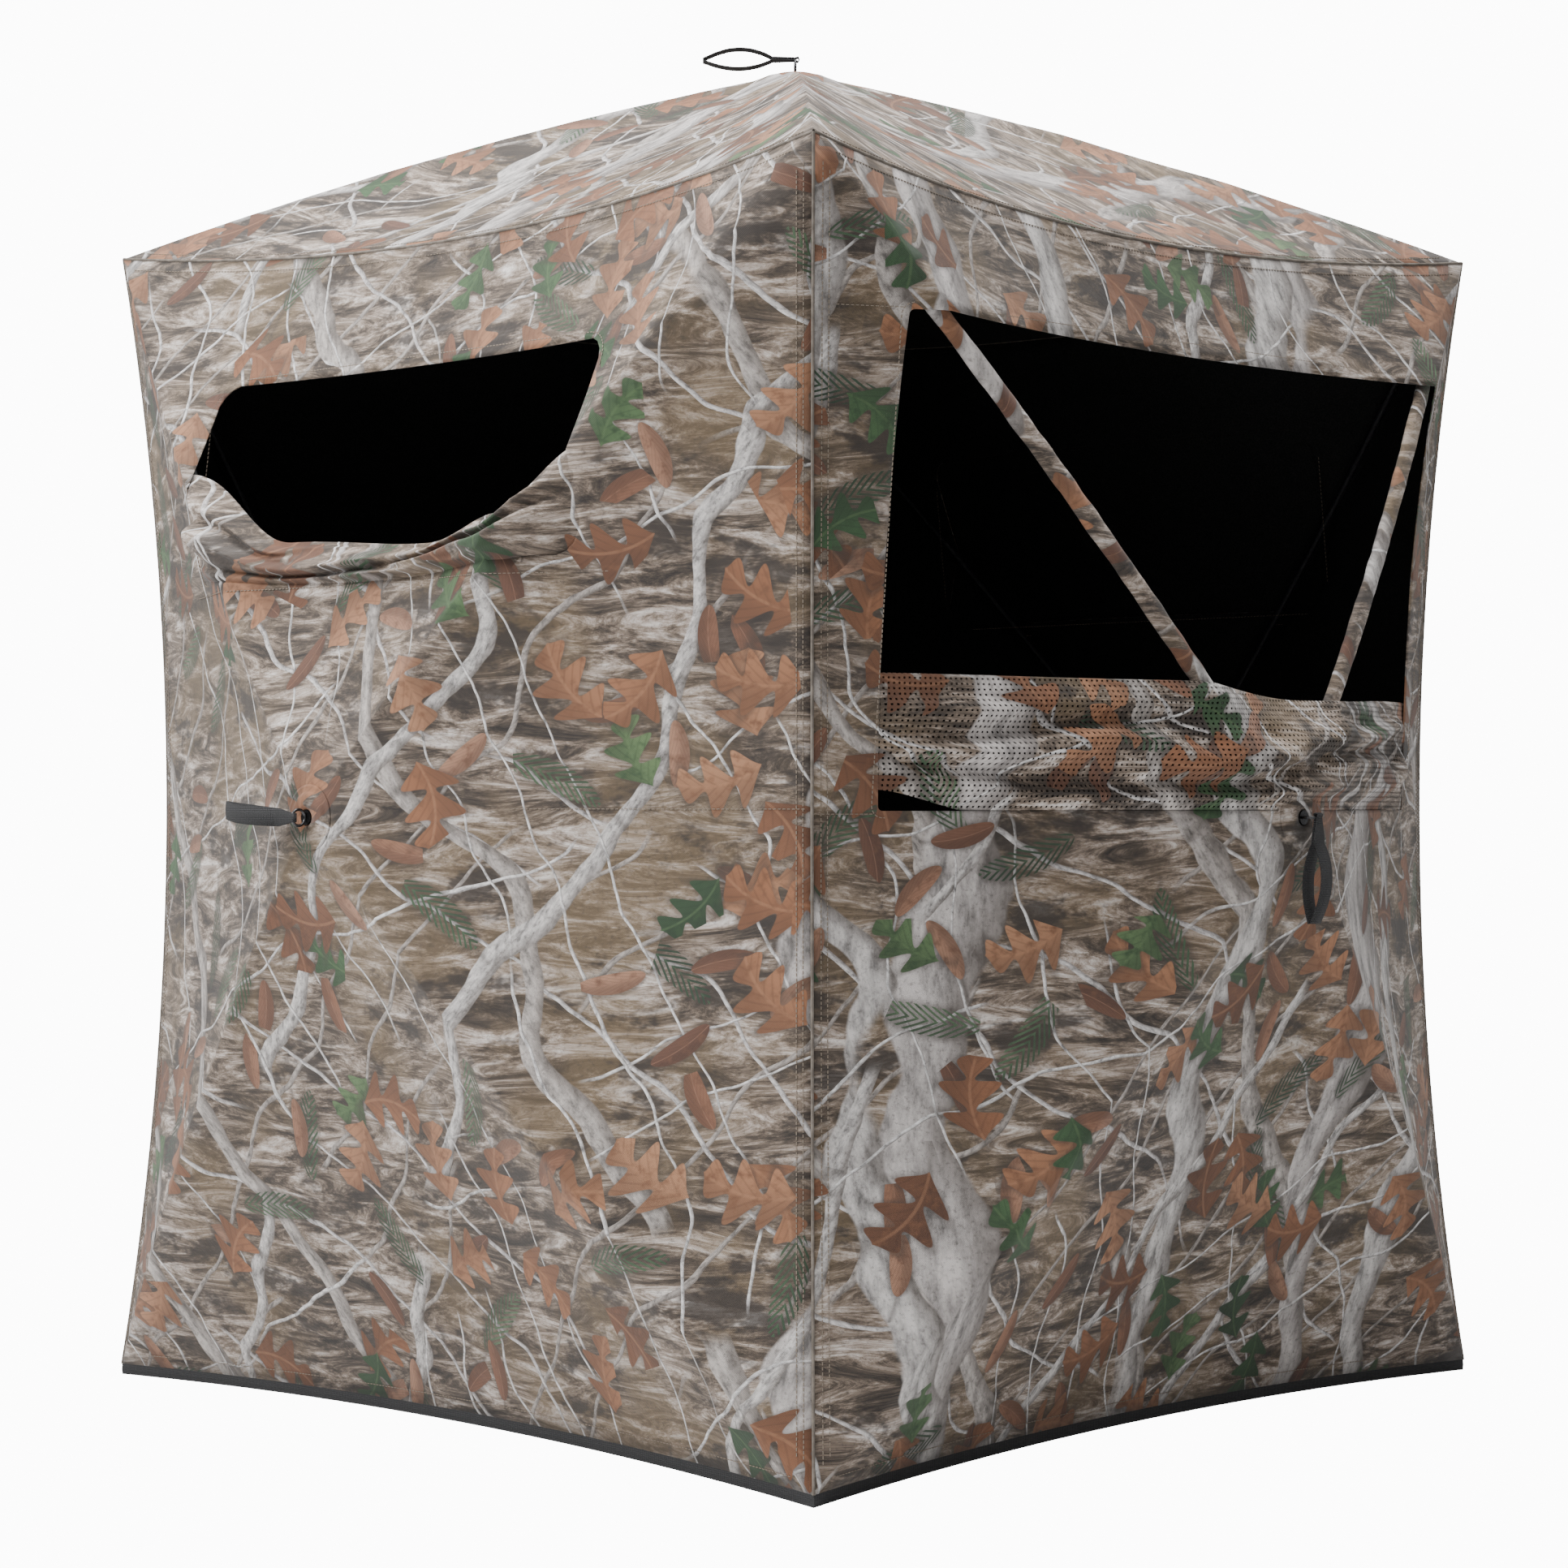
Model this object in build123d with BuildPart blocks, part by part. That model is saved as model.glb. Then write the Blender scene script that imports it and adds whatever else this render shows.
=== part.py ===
"""Pop-up ground blind: five hub-and-pole faces inside one fabric shell.

Origin at the middle of the footprint, on the ground. +Z up, -Y is the wall with the
wide window, +X is the wall with the large opening. Millimetres.
"""
import os
from math import asin, cos, degrees, radians, sin, sqrt

from build123d import *

os.makedirs("parts", exist_ok=True)

# ---- driving dimensions -------------------------------------------------------
footprint = 1480.0          # corner to corner along one wall, at the ground
corner_height = 1735.0      # top corners above the ground
wall_push = 217.0           # how far a wall's fabric stands out at its hub
roof_push = 285.0           # how far the roof's fabric stands up at its hub
side_bow = 49.0             # how far a vertical corner edge is drawn in at mid height
top_bow = 47.0              # how far a top edge is drawn in and down at its middle
bottom_bow = 45.0           # how far a bottom edge is drawn in at its middle
bottom_lift = 12.0          # how far a bottom edge lifts at its middle
hem_height = 16.0
hem_thickness = 3.0
fabric = 2.0                # fabric with its coating and seams, as a closed sheet
land_margin = 2.0           # flat of fabric beyond the hub's edge
fabric_hole = 12.0
gap = 0.3                   # clearance between pieces that only meet
running = 0.3               # clearance round a pivot pin

hub_radius = 48.0
land_radius = hub_radius + land_margin
hub_height = 28.0
plate_radius = 32.0
plate_thickness = 4.0
bolt_radius = 5.0
bolt_clearance = 0.2
flange_radius = 10.0
flange_height = 3.0
eye_radius = 11.0           # to the middle of the eye's wire
eye_wire = 2.0
nut_width = 17.0
nut_height = 8.0

rod_radius = 5.0
ferrule_wall = 1.0
ferrule_radius = rod_radius + ferrule_wall
ferrule_length = 46.0
ferrule_eye = 7.0           # ferrule behind its pivot pin
cap_wall = 1.5
cap_radius = rod_radius + cap_wall
cap_length = 24.0
cap_nose = 4.0
cap_nose_radius = rod_radius - 0.5
pole_bow = 20.0             # how far a loaded pole bends outward at its middle
pin_inset = 18.0            # pivot pins inside the hub's edge
pin_circle = hub_radius - pin_inset
pin_depth = 18.0            # pins below the hub's face
pin_radius = 2.0
slot_clearance = 0.6        # each side of a ferrule in its slot
slot_roof = 3.5             # hub left above a slot
slot_end_gap = 2.5          # behind a ferrule's corner as it turns
pin_fit = 0.05              # pins in their holes in the hub
hub_fillet = 2.5
plate_fillet = 1.5
bolt_tail = 2.0             # bolt beyond its nut
rod_start = 9.0             # rod's end beyond its pivot pin
cheek = 6.0                 # pin held in the hub each side of its slot
tip_cover = 3.5             # clear of the cap's side, inside the face's plane
tip_depth = cap_radius + tip_cover
wall_tip_gap = 52.0         # corner to pole tip, along the wall's diagonal
roof_tip_gap = 60.0
corner_gap = 5.0            # corner pocket inside the corner
corner_size = 14.0

strap_length = 146.0
strap_width = 25.0
strap_thickness = 4.0
strap_neck = 8.0
strap_sleeve = 4.0          # inside radius where the strap wraps the eye
strap_wrap = 2.0

window_width = 820.0
window_sill = 1212.0
window_top = 1503.0
window_corner = 38.0
flap_height = 62.0
opening_near = -605.0       # the large opening, along +Y
opening_far = 572.0
opening_sill = 877.0
opening_top = 1520.0
opening_corner = 6.0
net_height = 172.0
net_overlap = 14.0
cover_overlap = 30.0
panel_thickness = 3.0

sleeve_wall = 1.4           # net sleeve round a pole
sleeve_start = 70.0
sleeve_end = 60.0

zip_width = 30.0
zip_thickness = 1.2
zip_lift = 1.4
zip_bottom = 60.0
zip_top = 120.0
zip_slit = 4.0
slider_size = (12.0, 24.0, 5.0)
slider_tab = (7.0, 30.0, 1.6)
slider_start = 4.0          # slider above the zip's lower end
slider_corner = 4.0
tab_corner = 3.0

half = footprint / 2
half_height = corner_height / 2
segments = 4                # straight runs along each bowed edge
rings = 3                   # fabric rings from the hub's land to the edge
cut_start = -2 * side_bow   # cuts through a wall start well behind its edges
cut_depth = wall_push + 3 * side_bow

faces = {
    "front": Plane(origin=(0, -half, half_height), x_dir=(1, 0, 0), z_dir=(0, -1, 0)),
    "right": Plane(origin=(half, 0, half_height), x_dir=(0, 1, 0), z_dir=(1, 0, 0)),
    "back": Plane(origin=(0, half, half_height), x_dir=(-1, 0, 0), z_dir=(0, 1, 0)),
    "left": Plane(origin=(-half, 0, half_height), x_dir=(0, -1, 0), z_dir=(-1, 0, 0)),
    "roof": Plane(origin=(0, 0, corner_height), x_dir=(1, 0, 0), z_dir=(0, 0, 1)),
}
strap_directions = {"front": (-1, 0), "right": (0, -1), "back": (0, -1), "left": (0, -1),
                    "roof": (-sqrt(0.5), -sqrt(0.5))}


def push_of(name):
    return roof_push if name == "roof" else wall_push


def save(part, name):
    part.label = name
    export_step(part, f"parts/{name}.step")


# ---- fabric -------------------------------------------------------------------
def edge_points(name):
    """Outer and inner points of a face's rim, counter-clockwise, as (u, v, n) and a bow factor."""
    roof = name == "roof"
    top = half if roof else half_height
    foot = -half if roof else -half_height + hem_height
    rim = []
    for side in range(4):
        for step in range(segments):
            t = -1 + 2 * step / segments
            bow = 1 - t * t
            if side == 0:
                drop = top_bow if roof else bottom_bow
                rise = top_bow if roof else bottom_lift
                outer = (t * half, foot + rise * bow, -drop * bow)
                inward = (0, 1 if roof else 0)
            elif side == 2:
                outer = (-t * half, top - top_bow * bow, -top_bow * bow)
                inward = (0, -1)
            else:
                turn = 1 if side == 1 else -1
                draw = top_bow if roof else side_bow
                middle = (top + foot) / 2
                reach = (top - foot) / 2
                outer = (turn * (half - draw * bow), middle + turn * t * reach, -draw * bow)
                inward = (-turn, 0)
            if step == 0:
                inward = (-1 if side in (1, 2) else 1, -1 if side in (2, 3) else (1 if roof else 0))
            rim.append((outer, inward, t))
    return rim


def sheet(name, lift=0.0, thickness=fabric, mitred=True):
    """A face's fabric as a closed sheet, from the clamped land at its hub to its rim."""
    plane = faces[name]
    push = push_of(name)
    rim = edge_points(name)
    count = len(rim)
    rows = []
    for radius in (fabric_hole, land_radius):
        row = []
        for outer, _, _ in rim:
            reach = sqrt(outer[0] ** 2 + outer[1] ** 2)
            row.append((outer[0] / reach * radius, outer[1] / reach * radius, push))
        rows.append(row)
    land = rows[-1]
    for ring in range(1, rings + 1):
        s = ring / rings
        row = []
        for (outer, _, t), start in zip(rim, land):
            arch = pole_bow * 4 * s * (1 - s) * t * t
            row.append((start[0] + s * (outer[0] - start[0]), start[1] + s * (outer[1] - start[1]),
                        start[2] + s * (outer[2] - start[2]) + arch))
        rows.append(row)

    def world(point, drop=0.0, inward=(0, 0)):
        u, v, n = point
        local = (u + inward[0] * drop, v + inward[1] * drop, n + lift - drop)
        return plane.from_local_coords(Vector(*local))

    outside = [[world(p) for p in row] for row in rows]
    inside = [[world(p, thickness) for p in row] for row in rows[:-1]]
    inside.append([world(p, thickness, inward if mitred else (0, 0))
                   for p, (_, inward, _) in zip(rows[-1], rim)])
    triangles = []

    def quad(a, b, c, d):
        triangles.append((a, b, c))
        triangles.append((a, c, d))

    for r in range(len(rows) - 1):
        for i in range(count):
            j = (i + 1) % count
            quad(outside[r][i], outside[r + 1][i], outside[r + 1][j], outside[r][j])
            quad(inside[r][i], inside[r][j], inside[r + 1][j], inside[r + 1][i])
    for i in range(count):
        j = (i + 1) % count
        quad(outside[0][i], outside[0][j], inside[0][j], inside[0][i])
        if abs(rim[i][2]) > abs(rim[j][2]) or rim[i][2] == -1:
            triangles.append((outside[-1][j], outside[-1][i], inside[-1][i]))
            triangles.append((outside[-1][j], inside[-1][i], inside[-1][j]))
        else:
            quad(outside[-1][i], inside[-1][i], inside[-1][j], outside[-1][j])
    return Solid(Shell([Face(Wire.make_polygon([a, b, c])) for a, b, c in triangles]))


def window(width, low, high, middle=0.0, corner=window_corner):
    """A rounded rectangle on a wall's plane, by its width and its heights above ground."""
    with Locations((middle, (low + high) / 2 - half_height)):
        RectangleRounded(width, high - low, corner)


def fabric_panel(name, cut=None, land=False, slit=False):
    with BuildPart() as panel:
        add(sheet(name))
        if cut:
            with BuildSketch(faces[name].offset(cut_start)):
                window(*cut)
                if land:
                    Circle(land_radius, mode=Mode.SUBTRACT)
            extrude(amount=cut_depth, mode=Mode.SUBTRACT)
        if slit:
            with BuildSketch(faces[name].offset(cut_start)):
                with Locations((0, (zip_low + zip_high) / 2)):
                    Rectangle(zip_slit, zip_high - zip_low)
            extrude(amount=cut_depth, mode=Mode.SUBTRACT)
    return panel


def cut_sheet(name, lift, width, low, high, middle=0.0, land=False):
    """A panel that follows a wall's fabric, cut to a rectangle of that wall."""
    with BuildPart() as panel:
        add(sheet(name, lift, panel_thickness, mitred=False))
        with BuildSketch(faces[name].offset(cut_start)):
            with Locations((middle, (low + high) / 2 - half_height)):
                Rectangle(width, high - low)
            if land:
                Circle(hub_radius + panel_thickness, mode=Mode.SUBTRACT)
        extrude(amount=cut_depth, mode=Mode.INTERSECT)
    return panel


zip_low = -half_height + zip_bottom
zip_high = -zip_top
opening_width = opening_far - opening_near
opening_middle = (opening_far + opening_near) / 2
front_window = (window_width, window_sill, window_top)
large_opening = (opening_width, opening_sill, opening_top, opening_middle, opening_corner)

front_wall = fabric_panel("front", cut=front_window)
save(front_wall.part, "front_wall")
right_wall = fabric_panel("right", cut=large_opening, land=True)
save(right_wall.part, "right_wall")
back_wall = fabric_panel("back", cut=front_window)
save(back_wall.part, "back_wall")
left_wall = fabric_panel("left", slit=True)
save(left_wall.part, "left_wall")
roof_panel = fabric_panel("roof")
save(roof_panel.part, "roof_panel")

# a mitred rim is this much deeper than the fabric's thickness
behind = -fabric * (1 + (wall_push + side_bow) / half) - gap
front_window_flap = cut_sheet("front", behind, window_width + cover_overlap, window_sill - cover_overlap,
                              window_sill + flap_height)
save(front_window_flap.part, "front_window_flap")
back_window_cover = cut_sheet("back", panel_thickness + gap, window_width + 2 * cover_overlap,
                              window_sill - cover_overlap, window_top + cover_overlap)
save(back_window_cover.part, "back_window_cover")
right_net_panel = cut_sheet("right", behind, opening_width + 2 * net_overlap,
                            opening_sill - net_overlap, opening_sill + net_height, opening_middle, land=True)
save(right_net_panel.part, "right_net_panel")


def hem_ring():
    """The bound bottom edge, one closed band round all four walls."""
    columns = []
    for name in ("front", "right", "back", "left"):
        for outer, inward, _ in edge_points(name)[:segments]:
            corner = inward[0]
            u, v, n = outer
            columns.append([faces[name].from_local_coords(Vector(*p)) for p in (
                (u, v - hem_height, n), (u, v - gap, n),
                (u + corner * hem_thickness, v - gap, n - hem_thickness),
                (u + corner * hem_thickness, v - hem_height, n - hem_thickness))])
    triangles = []
    for i, here in enumerate(columns):
        there = columns[(i + 1) % len(columns)]
        for k in range(4):
            m = (k + 1) % 4
            triangles.append((here[k], there[k], there[m]))
            triangles.append((here[k], there[m], here[m]))
    return Solid(Shell([Face(Wire.make_polygon(list(t))) for t in triangles]))


with BuildPart() as bottom_hem:
    add(hem_ring())
save(bottom_hem.part, "bottom_hem")

with BuildPart() as corner_pockets:
    for sx in (-1, 1):
        for sy in (-1, 1):
            for foot in (True, False):
                level = 0 if foot else corner_height - corner_gap
                up = 1 if foot else -1
                x = sx * (half - corner_gap)
                y = sy * (half - corner_gap)
                with BuildSketch(Plane((0, 0, level), z_dir=(0, 0, up))):
                    with BuildLine():
                        Polyline((x, y * up), (x - sx * corner_size, y * up),
                                 (x, (y - sy * corner_size) * up), close=True)
                    make_face()
                extrude(amount=corner_size)
save(corner_pockets.part, "corner_pockets")


# ---- hubs, eyes and straps ------------------------------------------------------
def hub_levels(name):
    face = push_of(name) - fabric - gap
    return face, face - pin_depth, push_of(name) + gap


def pole_directions(name):
    """Unit directions of a face's four poles, in the face's plane."""
    reach_v = half if name == "roof" else half_height
    length = sqrt(half ** 2 + reach_v ** 2)
    return [(a * half / length, b * reach_v / length) for a, b in ((1, 1), (-1, 1), (-1, -1), (1, -1))]


def pin_plane(name, direction):
    """Plane through a pivot pin: x along the pole's direction, z along the pin."""
    plane = faces[name]
    radial = (plane.x_dir * direction[0] + plane.y_dir * direction[1]).normalized()
    level = hub_levels(name)[1]
    origin = plane.origin + radial * pin_circle + plane.z_dir * level
    return Plane(origin=origin, x_dir=radial, z_dir=radial.cross(plane.z_dir))


slot_width = 2 * (ferrule_radius + slot_clearance)
slot_start = pin_circle - sqrt(ferrule_eye ** 2 + ferrule_radius ** 2) - slot_end_gap


def hub_body(name):
    face, _, _ = hub_levels(name)
    with BuildPart() as hub:
        with BuildSketch(faces[name].offset(face - hub_height)):
            Circle(hub_radius)
            Circle(bolt_radius + bolt_clearance, mode=Mode.SUBTRACT)
        extrude(amount=hub_height)
        rim = hub.edges().filter_by(GeomType.CIRCLE).sort_by(SortBy.RADIUS)[-2:]
        fillet(rim, hub_fillet)
        for direction in pole_directions(name):
            side = pin_plane(name, direction)
            with BuildSketch(side.offset(-slot_width / 2)):
                with BuildLine():
                    Polyline((slot_start - pin_circle, pin_depth - slot_roof),
                             (hub_radius, pin_depth - slot_roof),
                             (hub_radius, -hub_height), (slot_start - pin_circle, -hub_height), close=True)
                make_face()
            extrude(amount=slot_width, mode=Mode.SUBTRACT)
            with BuildSketch(side.offset(-slot_width / 2 - cheek)):
                Circle(pin_radius + pin_fit)
            extrude(amount=slot_width + 2 * cheek, mode=Mode.SUBTRACT)
    return hub


def pivot_pins(name):
    with BuildPart() as pins:
        for direction in pole_directions(name):
            with BuildSketch(pin_plane(name, direction).offset(-slot_width / 2 - cheek)):
                Circle(pin_radius)
            extrude(amount=slot_width + 2 * cheek)
    return pins


def outer_plate(name):
    _, _, level = hub_levels(name)
    with BuildPart() as plate:
        with BuildSketch(faces[name].offset(level)):
            Circle(plate_radius)
            Circle(bolt_radius + bolt_clearance, mode=Mode.SUBTRACT)
        extrude(amount=plate_thickness)
        fillet(plate.edges().filter_by(GeomType.CIRCLE).group_by(Axis(faces[name].origin, faces[name].z_dir))[-1]
               .sort_by(SortBy.RADIUS)[-1], plate_fillet)
    return plate


def eye_centre(name):
    return hub_levels(name)[2] + plate_thickness + flange_height + eye_radius + eye_wire / 2


def eye_bolt(name):
    """Shank, flange and round eye in one piece, with the nut that clamps hub, fabric and plate."""
    face, _, level = hub_levels(name)
    along = strap_directions[name]
    plane = faces[name]
    flange = level + plate_thickness
    nut_low = face - hub_height - nut_height
    direction = plane.x_dir * along[0] + plane.y_dir * along[1]
    axis = direction.cross(plane.z_dir)
    centre = plane.origin + plane.z_dir * eye_centre(name)
    ring = Plane(origin=centre + plane.z_dir * eye_radius, x_dir=plane.z_dir, z_dir=axis)
    with BuildPart() as bolt:
        with BuildSketch(plane.offset(nut_low - bolt_tail)):
            Circle(bolt_radius)
        extrude(amount=flange - nut_low + bolt_tail)
        with BuildSketch(plane.offset(flange)):
            Circle(flange_radius)
        extrude(amount=flange_height)
        with BuildSketch(ring):
            Circle(eye_wire)
        revolve(axis=Axis(centre, direction), revolution_arc=360)
        with BuildSketch(plane.offset(nut_low)):
            RegularPolygon(nut_width / 2, 6, major_radius=False)
            Circle(bolt_radius, mode=Mode.SUBTRACT)
        extrude(amount=nut_height)
    return bolt


def pull_strap(name):
    """A stitched webbing loop that wraps the top of the eye."""
    plane = faces[name]
    along = strap_directions[name]
    direction = plane.x_dir * along[0] + plane.y_dir * along[1]
    axis = direction.cross(plane.z_dir)
    top = plane.origin + plane.z_dir * (eye_centre(name) + eye_radius)
    side = Plane(origin=top, x_dir=direction, z_dir=axis)
    flat = Plane(origin=top - plane.z_dir * (strap_thickness / 2), x_dir=direction, z_dir=plane.z_dir)
    wrap = strap_sleeve + strap_wrap
    with BuildPart() as strap:
        with BuildSketch(side.offset(-strap_neck / 2)):
            Circle(wrap)
        extrude(amount=strap_neck)
        with BuildSketch(flat):
            with BuildLine():
                Polyline((0, -strap_neck / 2), (wrap * 2, -strap_neck / 2), (wrap * 5, -strap_width / 2),
                         (strap_length, -strap_width / 2), (strap_length, strap_width / 2),
                         (wrap * 5, strap_width / 2), (wrap * 2, strap_neck / 2), (0, strap_neck / 2), close=True)
            make_face()
        extrude(amount=strap_thickness)
        with BuildSketch(side.offset(-strap_width)):
            Circle(strap_sleeve)
        extrude(amount=2 * strap_width, mode=Mode.SUBTRACT)
    return strap


# ---- poles ----------------------------------------------------------------------
def pole_arc(name, direction):
    """The loaded pole's arc: its centre, radius, half angle and the frame it lies in."""
    plane = faces[name]
    side = pin_plane(name, direction)
    reach_v = half if name == "roof" else half_height
    tip_gap = roof_tip_gap if name == "roof" else wall_tip_gap
    tip_radius = sqrt(half ** 2 + reach_v ** 2) - tip_gap
    tip = plane.origin + side.x_dir * tip_radius - plane.z_dir * tip_depth
    chord = tip - side.origin
    along = chord.normalized()
    outward = side.z_dir.cross(along)
    radius = chord.length ** 2 / (8 * pole_bow) + pole_bow / 2
    middle = (tip + side.origin) * 0.5
    centre = middle - outward * (radius - pole_bow)
    return centre, radius, asin(chord.length / 2 / radius), along, outward, side.z_dir


def pole_length(name, direction):
    _, radius, angle, *_ = pole_arc(name, direction)
    return 2 * angle * radius


def arc_run(name, direction, start, end, outer, inner=0.0):
    """A round run of a pole between two distances along its arc."""
    centre, radius, angle, along, outward, pin = pole_arc(name, direction)
    turn = -angle + start / radius
    point = centre + along * (radius * sin(turn)) + outward * (radius * cos(turn))
    heading = along * cos(turn) - outward * sin(turn)
    with BuildPart() as run:
        with BuildSketch(Plane(origin=point, x_dir=pin, z_dir=heading)):
            Circle(outer)
            if inner:
                Circle(inner, mode=Mode.SUBTRACT)
        revolve(axis=Axis(centre, -pin), revolution_arc=degrees((end - start) / radius))
    return run.part


def pole(name, direction):
    """Rod, drilled hub ferrule and tip cap, as three solids that fit together."""
    length = pole_length(name, direction)
    rod = arc_run(name, direction, rod_start, length - cap_length / 4, rod_radius)
    blank = arc_run(name, direction, -ferrule_eye, ferrule_length - ferrule_eye, ferrule_radius)
    ferrule_bore = arc_run(name, direction, rod_start, ferrule_length, rod_radius)
    cap_blank = arc_run(name, direction, length - cap_length, length - cap_nose, cap_radius)
    cap_tip = arc_run(name, direction, length - cap_nose, length, cap_nose_radius)
    cap_bore = arc_run(name, direction, length - cap_length - cap_wall, length - cap_length / 4, rod_radius)
    with BuildPart() as ferrule:
        add(blank)
        add(ferrule_bore, mode=Mode.SUBTRACT)
        with BuildSketch(pin_plane(name, direction).offset(-2 * ferrule_radius)):
            Circle(pin_radius + running)
        extrude(amount=4 * ferrule_radius, mode=Mode.SUBTRACT)
    with BuildPart() as cap:
        add(cap_blank)
        add(cap_tip)
        add(cap_bore, mode=Mode.SUBTRACT)
    return Compound(children=[rod, ferrule.part, cap.part])


for face_name in faces:
    save(hub_body(face_name).part, f"hub_{face_name}")
    save(outer_plate(face_name).part, f"hub_plate_{face_name}")
    save(eye_bolt(face_name).part, f"eye_bolt_{face_name}")
    save(pivot_pins(face_name).part, f"pivot_pins_{face_name}")
    save(pull_strap(face_name).part, f"pull_strap_{face_name}")
    for number, pole_direction in enumerate(pole_directions(face_name), start=1):
        save(pole(face_name, pole_direction), f"pole_{face_name}_{number}")

# the two upper poles beside the large opening run in net sleeves
for number in (1, 2):
    pole_direction = pole_directions("right")[number - 1]
    sleeve = arc_run("right", pole_direction, sleeve_start, pole_length("right", pole_direction) - sleeve_end,
                     rod_radius + sleeve_wall, rod_radius)
    save(sleeve, f"net_sleeve_{number}")

# ---- zip and slider ------------------------------------------------------
# the zip lies along the straight middle line of the left wall's lower facet
bottom_v = -half_height + hem_height + bottom_lift
fall = Vector(0, bottom_v + land_radius, -bottom_bow - wall_push)


def zip_point(v):
    """The point of the middle line at height v of the left wall's plane."""
    return Vector(0, -land_radius, wall_push) + fall * ((v + land_radius) / fall.Y)


zip_start = faces["left"].from_local_coords(zip_point(zip_low))
zip_end = faces["left"].from_local_coords(zip_point(zip_high))
zip_up = (zip_end - zip_start).normalized()
zip_out = faces["left"].x_dir.cross(zip_up)
zip_plane = Plane(origin=zip_start, x_dir=faces["left"].x_dir, z_dir=zip_out)
zip_length = (zip_end - zip_start).length
with BuildPart() as door_zip:
    with BuildSketch(zip_plane.offset(zip_lift)):
        with Locations((0, zip_length / 2)):
            Rectangle(zip_width, zip_length)
    extrude(amount=zip_thickness)
save(door_zip.part, "door_zip")
slider_level = zip_lift + zip_thickness + gap
with BuildPart() as door_slider:
    with BuildSketch(zip_plane.offset(slider_level)):
        with Locations((0, slider_size[1] / 2 + slider_start)):
            RectangleRounded(slider_size[0], slider_size[1], slider_corner)
    extrude(amount=slider_size[2])
    with BuildSketch(zip_plane.offset(slider_level + slider_size[2])):
        with Locations((0, slider_size[1] / 2 + slider_start)):
            RectangleRounded(slider_tab[0], slider_tab[1], tab_corner)
    extrude(amount=slider_tab[2])
save(door_slider.part, "door_slider")

# ---- values for the record ----------------------------------------------------------
for face_name in ("front", "roof"):
    level = hub_levels(face_name)[1] + tip_depth
    first = pole_directions(face_name)[0]
    centre, radius, angle, along, *_ = pole_arc(face_name, first)
    chord_length = 2 * radius * sin(angle)
    rest_angle = asin(level / chord_length)
    print(face_name, "hub travel", round(2 * level, 2), "pole rest angle", round(degrees(rest_angle), 4))
print("zip travel", round(zip_length - slider_size[1] - 2 * slider_start, 1), "direction", zip_up)
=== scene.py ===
# %% [markdown]
# A pop-up ground blind is a fabric box held out by five hubs, one in each wall and one in
# the roof. Each hub carries four springy poles that run to the corners. We start from the
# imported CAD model, which holds the hubs, pins and poles, and dress it in sewn fabric.

# %% Load the frame
import math

import bmesh
import bpy
from mathutils import Matrix, Vector, noise
from mathutils.bvhtree import BVHTree


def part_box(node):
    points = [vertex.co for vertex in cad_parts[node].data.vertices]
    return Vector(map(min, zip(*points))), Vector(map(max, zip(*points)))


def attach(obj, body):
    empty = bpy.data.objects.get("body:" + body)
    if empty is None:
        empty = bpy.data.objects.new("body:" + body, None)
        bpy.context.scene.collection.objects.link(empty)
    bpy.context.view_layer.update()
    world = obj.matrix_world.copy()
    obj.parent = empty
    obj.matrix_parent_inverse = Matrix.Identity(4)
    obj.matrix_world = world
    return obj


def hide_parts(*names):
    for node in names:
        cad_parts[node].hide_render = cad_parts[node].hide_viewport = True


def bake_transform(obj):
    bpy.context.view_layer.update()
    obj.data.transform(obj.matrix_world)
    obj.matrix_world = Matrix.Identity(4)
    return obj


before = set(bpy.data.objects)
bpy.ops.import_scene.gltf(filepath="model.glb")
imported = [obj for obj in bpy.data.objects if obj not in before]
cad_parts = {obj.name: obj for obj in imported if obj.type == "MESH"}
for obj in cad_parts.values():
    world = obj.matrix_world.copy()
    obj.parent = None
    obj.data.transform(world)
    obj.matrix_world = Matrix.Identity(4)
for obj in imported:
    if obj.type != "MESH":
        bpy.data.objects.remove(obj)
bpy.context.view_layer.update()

# %% [markdown]
# The camera stands at eye height a few steps from the near corner, with a long lens so that
# the upright edges stay upright. Any view can be described by a heading and a height.

# %% Camera
EYE = Vector((3.735, -3.904, 0.885))
HEADING = math.radians(43.918)
TILT = math.radians(90.344)
camera_data = bpy.data.cameras.new("camera")
camera_data.lens = 79.4
camera_data.sensor_width = 36.0
camera = bpy.data.objects.new("camera", camera_data)
camera.location = EYE
camera.rotation_euler = (TILT, 0.0, HEADING)
bpy.context.collection.objects.link(camera)
bpy.context.scene.camera = camera
print("camera", tuple(round(c, 3) for c in EYE))

# %% [markdown]
# Every sheet of this blind follows one rule, so the sizes come first. They are read from the
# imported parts: the hem gives the footprint, a wall gives its height and how far it stands out.

# %% Driving sizes
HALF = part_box("bottom_hem")[1][0]
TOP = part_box("front_wall")[1][2]
HEM = 0.016
WALL_PUSH = -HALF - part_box("front_wall")[0][1]
ROOF_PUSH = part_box("roof_panel")[1][2] - TOP
SIDE_BOW, TOP_BOW, FOOT_BOW, FOOT_LIFT = 0.049, 0.047, 0.045, 0.012
POLE_BOW = 0.020
LAND = 0.050
MIDDLE = TOP / 2
FACES = {
    "front": ((0, -HALF, MIDDLE), (1, 0, 0), (0, -1, 0), (0.0, 0.0)),
    "right": ((HALF, 0, MIDDLE), (0, 1, 0), (1, 0, 0), (1.73, 0.35)),
    "back": ((0, HALF, MIDDLE), (-1, 0, 0), (0, 1, 0), (3.4, 0.9)),
    "left": ((-HALF, 0, MIDDLE), (0, -1, 0), (-1, 0, 0), (5.2, 0.1)),
    "roof": ((0, 0, TOP), (1, 0, 0), (0, 0, 1), (0.9, 3.1)),
}
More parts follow.
